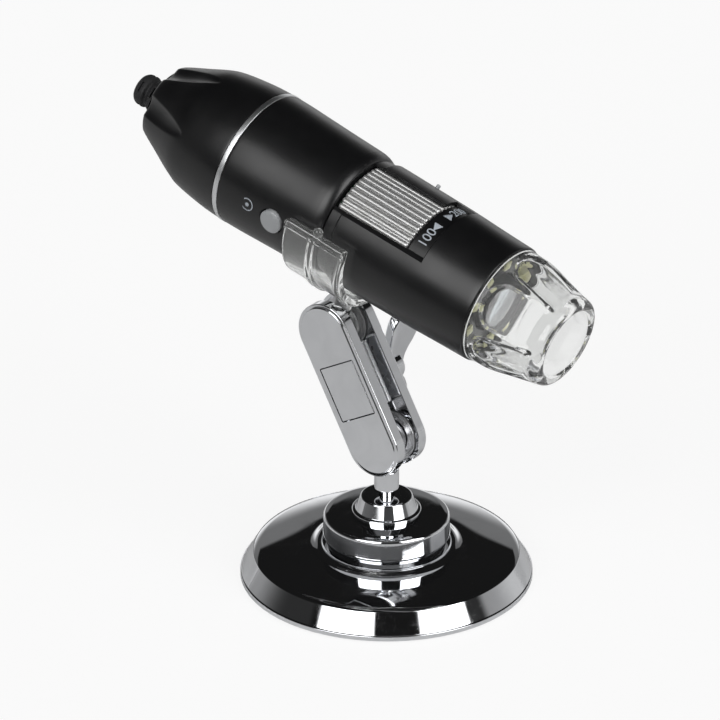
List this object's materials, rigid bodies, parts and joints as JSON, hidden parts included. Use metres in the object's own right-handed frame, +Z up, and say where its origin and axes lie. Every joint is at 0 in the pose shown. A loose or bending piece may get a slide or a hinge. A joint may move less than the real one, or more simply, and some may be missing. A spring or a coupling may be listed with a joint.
{
  "type": "usb digital microscope",
  "caption": "Handheld digital microscope with a ribbed focus wheel and clear lit nose, held by a clear clip on a ball-jointed chrome arm and round weighted stand",
  "frame": {"origin": "centre of the base pad's underside, where the stand rests", "axes": "+X is the way the microscope looks, seen from above; -Y is the side with the snap button; +Z is up"},
  "size_m": [0.1209, 0.0666, 0.1116],
  "materials": {
    "chrome": "mirror polished plating",
    "steel": "plain turned steel",
    "black_shell": "satin black, fine grain",
    "black_rubber": "matt black",
    "silver_trim": "satin silver",
    "wheel_metal": "ribbed bright metal",
    "clear_plastic": "clear moulded plastic",
    "grey_plastic": "pale grey, smooth",
    "board": "green circuit board",
    "dark_board": "black circuit board",
    "light_yellow": "pale yellow phosphor",
    "lens_glass": "coated glass"
  },
  "bodies": {
    "base": {"base_shell": "chrome", "base_pad": "black_rubber", "base_weight": "steel", "base_screw": "steel", "seat_ring": "chrome", "boss_drum": "chrome", "cone_collar": "chrome", "ball_post": "chrome"},
    "swivel": {"lower_cup_near": "steel", "lower_cup_far": "steel"},
    "arm": {"front_plate": "chrome", "rear_plate": "chrome", "plate_panel": "chrome", "spacer_bar_near": "chrome", "spacer_bar_far": "chrome", "stop_block": "steel", "clamp_bolt": "steel"},
    "knob": {"wing_knob": "chrome"},
    "head": {"upper_cup_near": "steel", "upper_cup_far": "steel"},
    "clip": {"clip": "clear_plastic"},
    "microscope": {"rear_cap": "black_shell", "cable_gland": "black_rubber", "silver_ring": "silver_trim", "body_shell": "black_shell", "front_shell": "black_shell", "dial_strip": "black_shell", "focus_sleeve": "black_rubber", "main_board": "board", "button_switch": "dark_board", "sensor_board": "board", "image_sensor": "dark_board", "light_board": "dark_board", "light_01": "light_yellow", "light_02": "light_yellow", "light_03": "light_yellow", "light_04": "light_yellow", "light_05": "light_yellow", "light_06": "light_yellow", "light_07": "light_yellow", "light_08": "light_yellow", "light_09": "light_yellow", "light_10": "light_yellow", "clear_nose": "clear_plastic", "index_pin": "grey_plastic"},
    "wheel": {"focus_wheel": "wheel_metal"},
    "lens_carrier": {"lens_barrel": "black_rubber", "lens": "lens_glass"},
    "button": {"snap_button": "grey_plastic"}
  },
  "joints": [
    {"name": "arm_swivel", "type": "hinge", "parent": "base", "child": "swivel", "pos_m": [0, 0, 0.0342], "axis": [0, 0, 1], "continuous": true},
    {"name": "arm_tilt", "type": "hinge", "parent": "swivel", "child": "arm", "pos_m": [0, 0, 0.0342], "axis": [0, 1, 0], "range_deg": [-55, 60]},
    {"name": "knob_turn", "type": "hinge", "parent": "arm", "child": "knob", "pos_m": [-0.00681, 0.01, 0.04643], "axis": [0, 1, 0], "continuous": true},
    {"name": "head_tilt", "type": "hinge", "parent": "arm", "child": "head", "pos_m": [-0.01362, 0, 0.05867], "axis": [0, -1, 0], "range_deg": [-43, 85]},
    {"name": "head_twist", "type": "hinge", "parent": "head", "child": "clip", "pos_m": [-0.01362, 0, 0.05867], "axis": [0.2531, 0, 0.9674], "continuous": true},
    {"name": "tube_turn", "type": "hinge", "parent": "clip", "child": "microscope", "pos_m": [-0.03531, 0, 0.0939], "axis": [0.9674, 0, -0.2531], "continuous": true},
    {"name": "focus_turn", "type": "hinge", "parent": "microscope", "child": "wheel", "pos_m": [-0.03531, 0, 0.0939], "axis": [0.9674, 0, -0.2531], "range_deg": [-150, 150]},
    {"name": "lens_slide", "type": "slide", "parent": "microscope", "child": "lens_carrier", "axis": [0.9674, 0, -0.2531], "range_m": [-0.003, 0.003]},
    {"name": "snap_press", "type": "slide", "parent": "microscope", "child": "button", "axis": [0.0247, 0.9952, 0.0944], "range_m": [0, 0.0006], "stiffness_N_per_m": 400}
  ],
  "couplings": [
    {"joint": "focus_turn", "follows": "lens_slide", "rad_per_m": 872.6}
  ]
}
